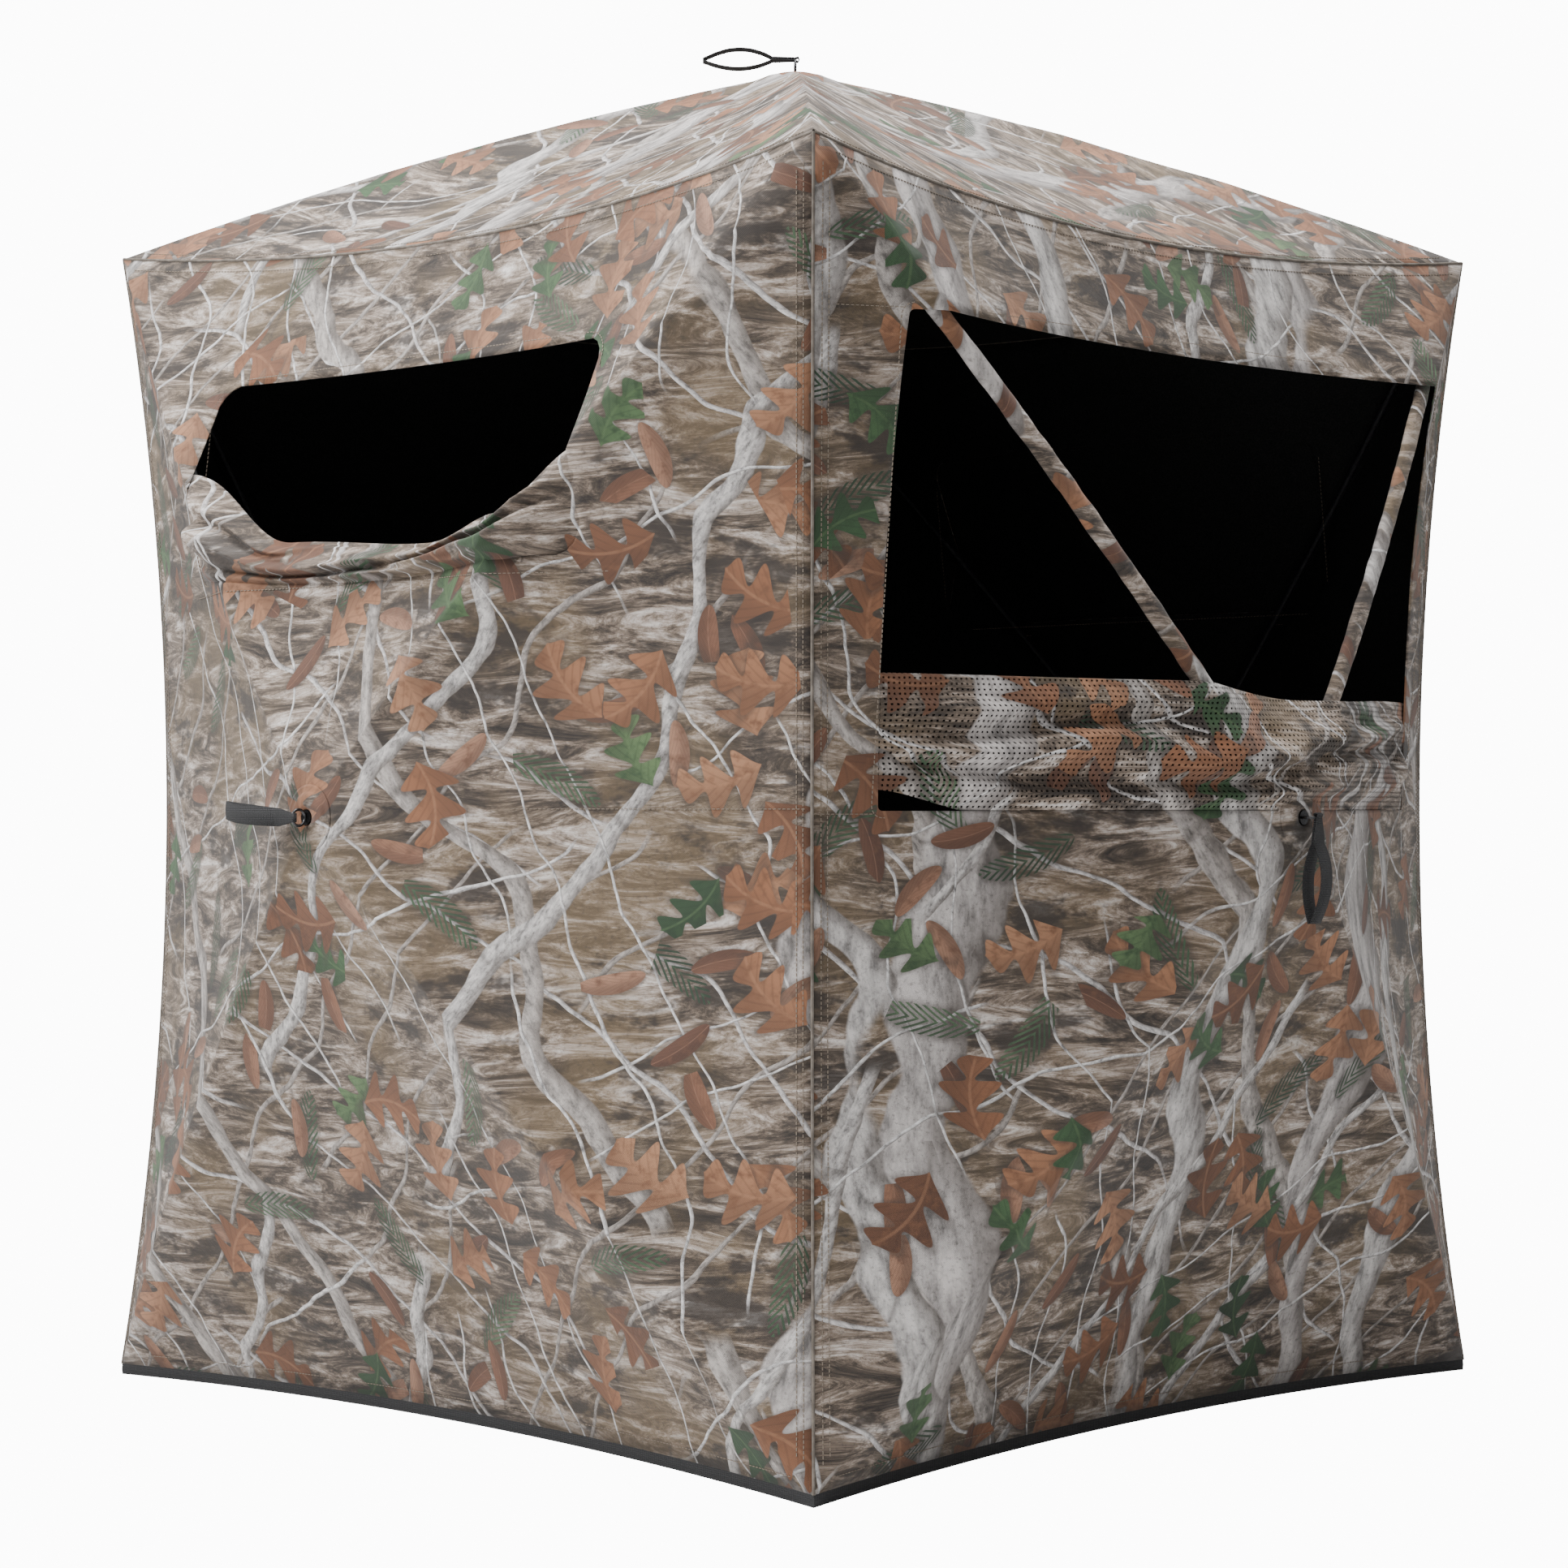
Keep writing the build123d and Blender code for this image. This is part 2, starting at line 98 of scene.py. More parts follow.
print("half", round(HALF, 3), "top", round(TOP, 3), "push", round(WALL_PUSH, 3), round(ROOF_PUSH, 3))


def face_matrix(name):
    origin, across, out, _ = FACES[name]
    across, out = Vector(across), Vector(out)
    up = out.cross(across)
    rows = Matrix((across, up, out)).transposed().to_4x4()
    rows.translation = Vector(origin)
    return rows


# %% [markdown]
# A face's rim is four bowed edges, because a taut sheet pulls its free edges inward. The
# rim is a short formula: a parabola along each side. Neighbouring faces get the same points
# on their shared edge, so no gap can open at a seam.

# %% The rim and the surface rule
AROUND = 28
RINGS = 30


def rim_point(name, side, t):
    """A rim point in a face's own (across, up, out) axes; t runs from -1 to 1 along a side."""
    bow = 1 - t * t
    roof = name == "roof"
    top = HALF if roof else MIDDLE
    foot = -HALF if roof else HEM - MIDDLE
    if side == 0:
        drop, rise = (TOP_BOW, TOP_BOW) if roof else (FOOT_BOW, FOOT_LIFT)
        return Vector((t * HALF, foot + rise * bow, -drop * bow))
    if side == 2:
        return Vector((-t * HALF, top - TOP_BOW * bow, -TOP_BOW * bow))
    turn = 1 if side == 1 else -1
    draw = TOP_BOW if roof else SIDE_BOW
    return Vector((turn * (HALF - draw * bow), (top + foot) / 2 + turn * t * (top - foot) / 2, -draw * bow))


def sheet_mesh(name, wrinkle=0.0016):
    """A face as a polar grid in its own axes, from the hub's middle to the rim."""
    push = ROOF_PUSH if name == "roof" else WALL_PUSH
    bm = bmesh.new()
    rim = [(rim_point(name, side, -1 + 2 * i / AROUND), -1 + 2 * i / AROUND)
           for side in range(4) for i in range(AROUND)]
    centre = bm.verts.new((0, 0, push))
    rows = []
    for k in range(RINGS + 1):
        row = []
        for point, t in rim:
            flat = Vector((point.x, point.y, 0)).normalized() * LAND
            start = Vector((flat.x, flat.y, push))
            s = k / RINGS
            arch = POLE_BOW * 4 * s * (1 - s) * t * t
            place = start.lerp(point, s) + Vector((0, 0, arch))
            pull = s * (1 - s) * 4
            seed = place * 5 + Vector((len(name) * 3.1, 0, 0))
            ripple = noise.noise(seed) + 0.5 * noise.noise(seed * 3.1)
            place.z += wrinkle * pull * ripple * 1.6
            row.append(bm.verts.new(place))
        rows.append(row)
    count = len(rim)
    for i in range(count):
        bm.faces.new((centre, rows[0][i], rows[0][(i + 1) % count]))
    for low, high in zip(rows, rows[1:]):
        for i in range(count):
            j = (i + 1) % count
            bm.faces.new((low[i], high[i], high[j], low[j]))
    return bm


SURFACE = {}
for face in FACES:
    whole = sheet_mesh(face, wrinkle=0.0)
    SURFACE[face] = BVHTree.FromBMesh(whole)
    whole.free()


def out_at(name, across, up):
    """How far a face's fabric stands out at a point of its own plane."""
    hit = SURFACE[name].ray_cast(Vector((across, up, 1.0)), Vector((0, 0, -1)))[0]
    return hit.z if hit else 0.0


print("stand-out by the front hub", round(out_at("front", 0.1, 0.0), 4))

# %% [markdown]
# Materials are built from nodes. Writing node graphs by hand is long-winded, so a small
# helper adds a node and fills or links its sockets in one call.

# %% Node helper


class Graph:
    def __init__(self, tree):
        self.tree = tree

    def add(self, kind, settings=None, **sockets):
        node = self.tree.nodes.new(kind)
        for key, value in (settings or {}).items():
            setattr(node, key, value)
        for key, value in sockets.items():
            slot = node.inputs[int(key[1:])] if key[1:].isdigit() else node.inputs[key.replace("_", " ")]
            self.feed(slot, value)
        return node

    def feed(self, slot, value):
        if isinstance(value, bpy.types.NodeSocket):
            self.tree.links.new(value, slot)
        else:
            slot.default_value = value

    def math(self, operation, a, b=0.0, c=0.0, clamp=False):
        return self.add("ShaderNodeMath", {"operation": operation, "use_clamp": clamp}, i0=a, i1=b, i2=c).outputs[0]

    def step(self, value, low, high):
        """0 below low, 1 above high, smooth between; low may be the larger."""
        node = self.add("ShaderNodeMapRange", {"interpolation_type": "SMOOTHSTEP"}, Value=value)
        flip = low > high
        node.inputs["From Min"].default_value = min(low, high)
        node.inputs["From Max"].default_value = max(low, high)
        node.inputs["To Min"].default_value = 1.0 if flip else 0.0
        node.inputs["To Max"].default_value = 0.0 if flip else 1.0
        return node.outputs[0]

    def mix(self, share, a, b, kind="MIX"):
        node = self.add("ShaderNodeMix", {"data_type": "RGBA", "blend_type": kind})
        self.feed(node.inputs[0], share)
        self.feed(node.inputs[6], a)
        self.feed(node.inputs[7], b)
        return node.outputs[2]

    def noise(self, where, scale, detail=4.0, rough=0.6, warp=0.0):
        return self.add("ShaderNodeTexNoise", Vector=where, Scale=scale, Detail=detail, Roughness=rough,
                        Distortion=warp).outputs[0]

    def place(self, where, move=(0, 0, 0), turn=0.0, size=(1, 1, 1)):
        return self.add("ShaderNodeMapping", {"vector_type": "POINT"}, Vector=where, Location=move,
                        Rotation=(0, 0, turn), Scale=size).outputs[0]

    def split(self, where):
        return self.add("ShaderNodeSeparateXYZ", Vector=where).outputs

    def ramp(self, value, stops):
        node = self.add("ShaderNodeValToRGB", Fac=value)
        band = node.color_ramp
        while len(band.elements) < len(stops):
            band.elements.new(0.5)
        for element, (place, colour) in zip(band.elements, stops):
            element.position = place
            element.color = (*colour, 1.0)
        return node.outputs[0]


def material(name):
    made = bpy.data.materials.new(name)
    made.use_nodes = True
    tree = made.node_tree
    tree.nodes.clear()
    return made, Graph(tree)


# %% [markdown]
# The printed cloth is a woodland scene of our own: streaked bark for the ground, pale trunks,
# branches and twigs as warped bands, and leaves as little shapes scattered one to a Voronoi
# cell. A cell gives each leaf a centre, and its random colour gives the leaf a turn and a tint.

# %% The woodland print


def band(g, where, turn, spacing, width, wander, seed, keep=0.4, gap=0.42):
    """Long limbs: mask, and a -1 to 1 position across each limb."""
    turned = g.place(where, (seed * 1.7, seed * 0.9, 0), turn)
    x, y, _ = g.split(turned)
    drift = g.noise(g.place(turned, (seed, 0, 0), 0, (0.6, 1.0, 1)), 1.9, 2.0)
    fine = g.noise(turned, 9.0, 2.0)
    bent = g.math("ADD", x, g.math("MULTIPLY", g.math("SUBTRACT", drift, 0.5), wander))
    bent = g.math("ADD", bent, g.math("MULTIPLY", g.math("SUBTRACT", fine, 0.5), wander * 0.08))
    cell = g.math("DIVIDE", bent, spacing)
    number = g.math("FLOOR", cell)
    key = g.math("ADD", number, seed * 7.3)
    chance = g.add("ShaderNodeTexWhiteNoise", {"noise_dimensions": "1D"}, W=key).outputs[0]
    across = g.math("MULTIPLY", g.math("SUBTRACT", g.math("FRACT", cell), 0.5), spacing * 2 / width)
    slow = g.noise(g.place(turned, (0, 0, 0), 0, (0.2, 1, 1)), 2.3, 1.0)
    taper = g.math("ADD", 0.55, g.math("MULTIPLY", slow, 0.9))
    across = g.math("DIVIDE", across, taper)
    gaps = g.step(g.noise(g.place(turned, (seed, 3, 0), 0, (1.0, 0.8, 1)), 2.2, 1.0), gap, gap + 0.03)
    mask = g.step(g.math("ABSOLUTE", across), 1.0, 0.86)
    mask = g.math("MULTIPLY", mask, g.math("GREATER_THAN", chance, keep))
    return g.math("MULTIPLY", mask, gaps), across, turned


def limbs(g, base, where, turn, spacing, width, wander, seed, keep=0.4, light=(0.66, 0.62, 0.60), gap=0.42):
    mask, across, turned = band(g, where, turn, spacing, width, wander, seed, keep, gap)
    bark = g.noise(g.place(turned, (0, 0, seed), 0, (1.0, 0.35, 1)), 3.2 / max(width, 0.02), 5.0, 0.7)
    dark = tuple(c * 0.22 for c in light)
    skin = g.ramp(bark, [(0.33, dark), (0.47, tuple(c * 0.62 for c in light)), (0.62, light)])
    side = g.step(across, -0.2, 1.05)
    skin = g.mix(g.math("MULTIPLY", side, 0.75), skin, (0.07, 0.055, 0.045, 1), "MIX")
    return g.mix(mask, base, skin)


def leaves(g, base, where, scale, length, width, lobes, seed, keep, tints, comb=0.0):
    """Leaves, one to a cell: length and width are shares of a cell."""
    moved = g.place(where, (seed * 3.1, seed * 1.3, 0))
    cells = g.add("ShaderNodeTexVoronoi", {"voronoi_dimensions": "2D"}, Vector=moved, Scale=scale, Randomness=0.85)
    away = g.add("ShaderNodeVectorMath", {"operation": "SUBTRACT"}, i0=moved, i1=cells.outputs["Position"]).outputs[0]
    red, green, blue = g.add("ShaderNodeSeparateColor", Color=cells.outputs["Color"]).outputs
    turned = g.add("ShaderNodeVectorRotate", {"rotation_type": "Z_AXIS"}, Vector=away,
                   Angle=g.math("MULTIPLY", red, 6.283)).outputs[0]
    x, y, _ = g.split(turned)
    x = g.math("MULTIPLY", x, scale / length)
    y = g.math("ADD", g.math("MULTIPLY", y, scale / width), g.math("MULTIPLY", g.math("MULTIPLY", x, x), 0.35))
    body = g.math("SQRT", g.math("MAXIMUM", g.math("SUBTRACT", 1.0, g.math("MULTIPLY", x, x)), 0.0))
    if lobes:
        slant = g.math("MULTIPLY", g.math("ABSOLUTE", y), -0.3)
        wave = g.math("COSINE", g.math("MULTIPLY", g.math("ADD", x, slant), lobes))
        body = g.math("MULTIPLY", body, g.math("ADD", 0.60, g.math("MULTIPLY", wave, 0.42)))
    reach = g.math("SUBTRACT", body, g.math("ABSOLUTE", y))
    chosen = g.math("GREATER_THAN", blue, keep)
    mask = g.math("MULTIPLY", g.step(reach, 0.0, 0.06), chosen)
    if comb:
        slant = g.math("MULTIPLY", g.math("ABSOLUTE", y), 0.5)
        teeth = g.math("SINE", g.math("MULTIPLY", g.math("SUBTRACT", x, slant), comb))
        mask = g.math("MULTIPLY", mask, g.step(teeth, -0.1, 0.5))
    halo = g.math("MULTIPLY", g.step(reach, -0.5, 0.1), chosen)
    base = g.mix(g.math("MULTIPLY", halo, 0.55), base, (0.035, 0.026, 0.02, 1))
    tone = g.ramp(green, [(0.1, tints[0]), (0.5, tints[1]), (0.9, tints[2])])
    veins = g.math("SINE", g.math("MULTIPLY", g.math("SUBTRACT", x, g.math("ABSOLUTE", y)), 21.0))
    tone = g.mix(g.math("MULTIPLY", g.step(veins, 0.5, 1.0), 0.25), tone, tuple(c * 0.4 for c in tints[0]) + (1,))
    rib = g.step(g.math("ABSOLUTE", y), 0.07, 0.02)
    tone = g.mix(g.math("MULTIPLY", rib, 0.35), tone, tuple(min(1, c * 1.35) for c in tints[2]) + (1,))
    shade = g.step(y, -0.6, 0.5)
    tone = g.mix(g.math("MULTIPLY", shade, 0.5), tone, tuple(c * 0.35 for c in tints[0]) + (1,))
    mottle = g.noise(where, 60.0, 3.0)
    tone = g.mix(g.step(mottle, 0.45, 0.75), tone, tuple(c * 0.55 for c in tints[1]) + (1,))
    return g.mix(mask, base, tone)


RUST = ((0.11, 0.045, 0.022), (0.24, 0.10, 0.045), (0.34, 0.17, 0.09))
COPPER = ((0.10, 0.045, 0.028), (0.20, 0.09, 0.05), (0.30, 0.16, 0.10))
GREEN = ((0.018, 0.045, 0.018), (0.035, 0.085, 0.03), (0.09, 0.15, 0.06))
SPRIG = ((0.018, 0.042, 0.022), (0.035, 0.075, 0.035), (0.07, 0.12, 0.06))


def woodland(g, where):
    streak = g.noise(g.place(where, (0, 0, 0), 0.06, (7.0, 30.0, 1)), 1.0, 10.0, 0.78, 0.9)
    base = g.ramp(streak, [(0.38, (0.012, 0.009, 0.007)), (0.46, (0.060, 0.044, 0.032)), (0.52, (0.19, 0.145, 0.11)),
                           (0.57, (0.38, 0.32, 0.275)), (0.66, (0.70, 0.66, 0.63))])
    patch = g.noise(where, 3.1, 3.0)
    base = g.mix(g.math("MULTIPLY", g.step(patch, 0.45, 0.62), 0.45), base, (0.17, 0.115, 0.055, 1))
    hollow = g.noise(g.place(where, (4, 2, 0), 0, (1, 1.8, 1)), 5.5, 5.0, 0.7)
    base = g.mix(g.math("MULTIPLY", g.step(hollow, 0.52, 0.62), 0.88), base, (0.020, 0.015, 0.012, 1))
    base = limbs(g, base, where, 0.75, 0.12, 0.008, 0.30, 4.0, 0.25, (0.40, 0.36, 0.33))
    base = limbs(g, base, where, -0.95, 0.13, 0.007, 0.34, 6.0, 0.25, (0.66, 0.63, 0.62))
    base = limbs(g, base, where, -0.55, 0.34, 0.036, 0.40, 1.0, 0.25, (0.46, 0.42, 0.39), 0.38)
    base = limbs(g, base, where, 0.05, 0.40, 0.085, 0.46, 2.0, 0.22, (0.55, 0.51, 0.49), 0.32)
    base = limbs(g, base, where, -0.12, 0.52, 0.060, 0.50, 9.0, 0.25, (0.60, 0.57, 0.55), 0.36)
    base = limbs(g, base, where, 0.55, 0.28, 0.022, 0.36, 3.0, 0.3, (0.62, 0.59, 0.57))
    base = limbs(g, base, where, 1.15, 0.10, 0.0050, 0.30, 5.0, 0.3, (0.78, 0.76, 0.75))
    base = limbs(g, base, where, -0.35, 0.09, 0.0045, 0.32, 8.0, 0.35, (0.76, 0.74, 0.73))
    grain = g.noise(where, 150.0, 4.0, 0.7)
    base = g.mix(g.math("MULTIPLY", g.step(grain, 0.5, 0.72), 0.55), base, (0.03, 0.024, 0.02, 1))
    base = leaves(g, base, where, 6.5, 0.46, 0.13, 0.0, 5.0, 0.74, SPRIG, 34.0)
    base = leaves(g, base, where, 10.0, 0.44, 0.14, 0.0, 1.0, 0.74, COPPER)
    base = leaves(g, base, where, 8.0, 0.46, 0.34, 9.0, 6.0, 0.80, RUST)
    base = leaves(g, base, where, 8.5, 0.44, 0.30, 9.5, 2.0, 0.86, GREEN)
    base = leaves(g, base, where, 7.5, 0.45, 0.34, 9.0, 3.0, 0.76, RUST)
    return base


# %% [markdown]
# Blind fabric is a tight polyester weave with a dull face and a black coating inside. The
# weave is too fine to model, so it is bump. A little sheen gives the washed look at the roof.

# %% Cloth materials


def cloth_material(name, see_through=False, fade=0.03):
    made, g = material(name)
    uv = g.add("ShaderNodeUVMap", {"uv_map": "print"}).outputs[0]
    colour = woodland(g, uv)
    colour = g.mix(fade, colour, (0.52, 0.49, 0.49, 1))
    x, y, _ = g.split(uv)
    weave_size = 900.0 if see_through else 2600.0
    warp = g.math("SINE", g.math("MULTIPLY", x, weave_size))
    weft = g.math("SINE", g.math("MULTIPLY", y, weave_size))
    weave = g.math("MULTIPLY", warp, weft)
    crease = g.noise(uv, 7.0, 5.0, 0.55, 0.8)
    height = g.math("ADD", g.math("MULTIPLY", weave, 0.15), g.math("MULTIPLY", crease, 6.0))
    bump = g.add("ShaderNodeBump", Strength=0.45, Distance=0.002, Height=height).outputs[0]
    shader = g.add("ShaderNodeBsdfPrincipled", Base_Color=colour, Roughness=0.82, Normal=bump)
    shader.inputs["Sheen Weight"].default_value = 0.12
    shader.inputs["Specular IOR Level"].default_value = 0.25
    if see_through:
        holes = g.math("MULTIPLY", g.step(warp, 0.15, 0.55), g.step(weft, 0.15, 0.55))
        shader.inputs["Alpha"].default_value = 1.0
        g.tree.links.new(g.math("SUBTRACT", 1.0, holes), shader.inputs["Alpha"])
    out = g.add("ShaderNodeOutputMaterial")
    g.tree.links.new(shader.outputs[0], out.inputs[0])
    return made


def plain_material(name, colour, rough, metal=0.0, grain=400.0, bump=0.15, uv=False, ribs=0.0):
    made, g = material(name)
    if uv:
        where = g.add("ShaderNodeUVMap", {"uv_map": "print"}).outputs[0]
    else:
        where = g.add("ShaderNodeTexCoord").outputs["Object"]
    speck = g.noise(where, grain, 3.0)
    light = tuple(min(1.0, c * 1.7 + 0.01) for c in colour)
    tint = g.mix(g.step(speck, 0.35, 0.7), (*colour, 1), (*light, 1))
    height = speck
    if ribs:
        x, y, _ = g.split(where)
        rib = g.math("ADD", g.math("SINE", g.math("MULTIPLY", x, ribs)), g.math("SINE", g.math("MULTIPLY", y, ribs)))
        height = g.math("ADD", speck, rib)
    normal = g.add("ShaderNodeBump", Strength=bump, Distance=0.0006, Height=height).outputs[0]
    shader = g.add("ShaderNodeBsdfPrincipled", Base_Color=tint, Roughness=rough, Metallic=metal, Normal=normal)
    out = g.add("ShaderNodeOutputMaterial")
    g.tree.links.new(shader.outputs[0], out.inputs[0])
    return made


PRINT = cloth_material("printed cloth")
NET = cloth_material("printed net", see_through=True)
COATING = plain_material("black coating", (0.004, 0.004, 0.004), 0.95, bump=0.05)
BINDING = plain_material("hem binding", (0.012, 0.012, 0.013), 0.85, grain=900, uv=True, ribs=2400.0, bump=0.4)
WEBBING = plain_material("black webbing", (0.010, 0.010, 0.011), 0.75, grain=700, uv=True, ribs=2600.0, bump=0.8)
SEAM = plain_material("seam fold", (0.10, 0.085, 0.07), 0.85, grain=60)
THREAD = plain_material("thread", (0.16, 0.13, 0.10), 0.8, grain=1500)
MOULDED = plain_material("moulded black", (0.014, 0.014, 0.015), 0.5, grain=900)
FIBRE = plain_material("pole fibreglass", (0.016, 0.016, 0.017), 0.4, grain=300)
STEEL = plain_material("blackened steel", (0.05, 0.05, 0.052), 0.35, metal=1.0, grain=500)
print("materials", len(bpy.data.materials))

# %% [markdown]
# A window is cut by slicing the sheet along its outline and deleting what lies inside. The
# slices are straight cuts through a flat plane, and a few slanted ones round the corners, so
# the edge is crisp however coarse the grid is.

# %% Outlines and cutting
WINDOW = (-0.41, 0.41, 1.212 - MIDDLE, 1.503 - MIDDLE)
OPENING = (-0.605, 0.572, 0.877 - MIDDLE, 1.520 - MIDDLE)
CORNERS = {WINDOW: 0.038, OPENING: 0.006}


def outline_cuts(rect):
    """Half-planes, as a point and an outward direction, that bound a rounded rectangle."""
    left, right, low, high = rect
    corner = CORNERS[rect]
    cuts = [((left, 0), (-1, 0)), ((right, 0), (1, 0)), ((0, low), (0, -1)), ((0, high), (0, 1))]
    for cx, sx in ((left + corner, -1), (right - corner, 1)):
        for cy, sy in ((low + corner, -1), (high - corner, 1)):
            for angle in (22.5, 45, 67.5):
                way = (sx * math.cos(math.radians(angle)), sy * math.sin(math.radians(angle)))
                cuts.append(((cx + way[0] * corner, cy + way[1] * corner), way))
    return cuts


def cut_opening(bm, rect, keep_land):
    cuts = outline_cuts(rect)
    for point, way in cuts:
        geometry = bm.verts[:] + bm.edges[:] + bm.faces[:]
        bmesh.ops.bisect_plane(bm, geom=geometry, dist=1e-6, plane_co=(*point, 0), plane_no=(*way, 0))
    gone = []
    for piece in bm.faces:
        c = piece.calc_center_median()
        inside = all((c.x - p[0]) * w[0] + (c.y - p[1]) * w[1] < 0 for p, w in cuts)
        if inside and not (keep_land and math.hypot(c.x, c.y) < LAND):
            gone.append(piece)
    bmesh.ops.delete(bm, geom=gone, context="FACES")
    return len(gone)


def outline_points(rect, grow=0.0, steps=5):
    left, right, low, high = rect[0] - grow, rect[1] + grow, rect[2] - grow, rect[3] + grow
    r = CORNERS[rect] + grow
    points = []
    for cx, cy, first in ((right - r, high - r, 0), (left + r, high - r, 90), (left + r, low + r, 180),
                          (right - r, low + r, 270)):
        for k in range(steps + 1):
            a = math.radians(first + 90 * k / steps)
            points.append((cx + r * math.cos(a), cy + r * math.sin(a)))
    return points


# %% Turning a working mesh into a finished piece


def finish_piece(name, bm, face, materials, thick=0.0, smooth=True):
    """Give the mesh its printed UVs and put it in place as an object."""
    _, _, _, shift = FACES[face]
    layer = bm.loops.layers.uv.new("print")
    for piece in bm.faces:
        piece.smooth = smooth
        for loop in piece.loops:
            co = loop.vert.co
            loop[layer].uv = (co.x + shift[0], co.y + shift[1])
    bm.transform(face_matrix(face))
    data = bpy.data.meshes.new(name)
    bm.to_mesh(data)
    bm.free()
    for made in materials:
        data.materials.append(made)
    obj = bpy.data.objects.new(name, data)
    bpy.context.collection.objects.link(obj)
    if thick:
        solid = obj.modifiers.new("thickness", "SOLIDIFY")
        solid.thickness = thick
        solid.offset = -1.0
        solid.material_offset = len(materials) - 1
    return obj


def follow_hub(piece, face):
    """Bake the piece's placement into its mesh."""
    place = face_matrix(face)
    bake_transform(piece)


# %% [markdown]
# Five sheets make the shell, each built in its face's own axes and set in place. On the real blind the fabric goes in
# with the hub when the blind is folded; these sheets stay where they are.

# %% Walls and roof
NODE = {"front": "front_wall", "right": "right_wall", "back": "back_wall", "left": "left_wall",
        "roof": "roof_panel"}
for face, node in NODE.items():
    bm = sheet_mesh(face)
    if face == "front" or face == "back":
        print(face, "window faces removed", cut_opening(bm, WINDOW, False))
    if face == "right":
        print(face, "opening faces removed", cut_opening(bm, OPENING, True))
    wall = finish_piece("cloth_" + node, bm, face, (PRINT, COATING), thick=0.0012)
    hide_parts(node)
    follow_hub(wall, face)

# %% [markdown]
# The hem is a folded black tape sewn over the bottom edge. It is a four-sided section swept
# round all four walls, and its corners are what touches the ground.

# %% Hem
bm = bmesh.new()
columns = []
for face in ("front", "right", "back", "left"):
    place = face_matrix(face)
    for i in range(AROUND):
        t = -1 + 2 * i / AROUND
        p = rim_point(face, 0, t)
        turn = 0.0028 if i == 0 else 0.0
        corners = [(p.x, p.y - HEM, p.z), (p.x, p.y - HEM * 0.5, p.z + 0.0012), (p.x, p.y + 0.001, p.z),
                   (p.x + turn, p.y + 0.001, p.z - 0.0028), (p.x + turn, p.y - HEM, p.z - 0.0028)]
        columns.append([bm.verts.new(place @ Vector(c)) for c in corners])
for a, b in zip(columns, columns[1:] + columns[:1]):
    for k in range(5):
        m = (k + 1) % 5
        bm.faces.new((a[k], b[k], b[m], a[m]))
bmesh.ops.recalc_face_normals(bm, faces=bm.faces[:])
layer = bm.loops.layers.uv.new("print")
for piece in bm.faces:
    for loop in piece.loops:
        loop[layer].uv = (loop.vert.co.x + loop.vert.co.y, loop.vert.co.z)
data = bpy.data.meshes.new("hem_band")
bm.to_mesh(data)
bm.free()
data.materials.append(BINDING)
hem = bpy.data.objects.new("hem_band", data)
bpy.context.collection.objects.link(hem)
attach(hem, "root")
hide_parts("bottom_hem")
print("hem columns", len(columns))

# %% [markdown]
# The window flap is let down: it hangs from both sides of the window and slumps over the
# sill in a swag. The surface is a grid whose top line sags, with folds that deepen mid-way.

# %% Swags


def swag(name, face, rect, top_line, low_line, bulge, folds, node, cloth,
         rows=34, across=150):
    left, right = rect
    bm = bmesh.new()
    grid = []
    for i in range(across + 1):
        a = i / across
        x = left + (right - left) * a
        high, low = top_line(x), low_line(x)
        column = []
        for j in range(rows + 1):
            b = j / rows
            y = high + (low - high) * b
            belly = math.sin(math.pi * min(1.0, b * 1.02)) ** 0.8
            hold = min(1.0, 12 * a * (1 - a))
            broad = noise.noise(Vector((x * 4.0, b * 2.0, 3.3)))
            fine = noise.noise(Vector((x * 11.0, b * 5.0, 7.1)))
            rough = broad * 0.5 + fine * 0.2
            wave = math.sin(2 * math.pi * (2.4 * b + 1.3 * rough + 0.8 * a))
            depth = -0.004 + hold * (bulge * belly + folds * wave * belly)
            depth += 0.010 * rough * hold
            column.append(bm.verts.new((x, y, out_at(face, x, y) + depth)))
        roll = []
        for k in range(1, 7):
            turn = math.pi * k / 6
            top = column[0].co
            roll.append(bm.verts.new((top.x, top.y + 0.009 * math.sin(turn) - 0.016 * (k / 6) ** 2,
                                      top.z - 0.008 + 0.008 * math.cos(turn))))
        grid.append(list(reversed(roll)) + column)
    for one, two in zip(grid, grid[1:]):
        for k in range(len(one) - 1):
            bm.faces.new((one[k], one[k + 1], two[k + 1], two[k]))
    obj = finish_piece(name, bm, face, (cloth, cloth), thick=0.001)
    obj.modifiers["thickness"].material_offset = 0
    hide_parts(node)
    return obj


def through(stops):
    """A smooth line through a few (place, level) stops."""
    def level(x):
        for (x0, y0), (x1, y1) in zip(stops, stops[1:]):
            if x <= x1 or (x1, y1) == stops[-1]:
                s = min(1.0, max(0.0, (x - x0) / (x1 - x0)))
                return y0 + (y1 - y0) * s * s * (3 - 2 * s) - MIDDLE
    return level


flap = swag("window_flap", "front", (-0.425, 0.425),
            through([(-0.425, 1.365), (-0.18, 1.252), (0.12, 1.236), (0.26, 1.268), (0.425, 1.345)]),
            through([(-0.425, 1.205), (0.0, 1.190), (0.425, 1.205)]), 0.030, 0.013, "front_window_flap",
            PRINT)
net = swag("net_panel", "right", (-0.615, 0.590),
           through([(-0.615, 1.050), (-0.20, 1.046), (0.05, 1.024), (0.59, 1.036)]),
           through([(-0.615, 0.905), (-0.45, 0.872), (0.59, 0.868)]), 0.026, 0.015, "right_net_panel", NET)
for piece, face in ((flap, "front"), (net, "right")):
    follow_hub(piece, face)
print("flap and net made")

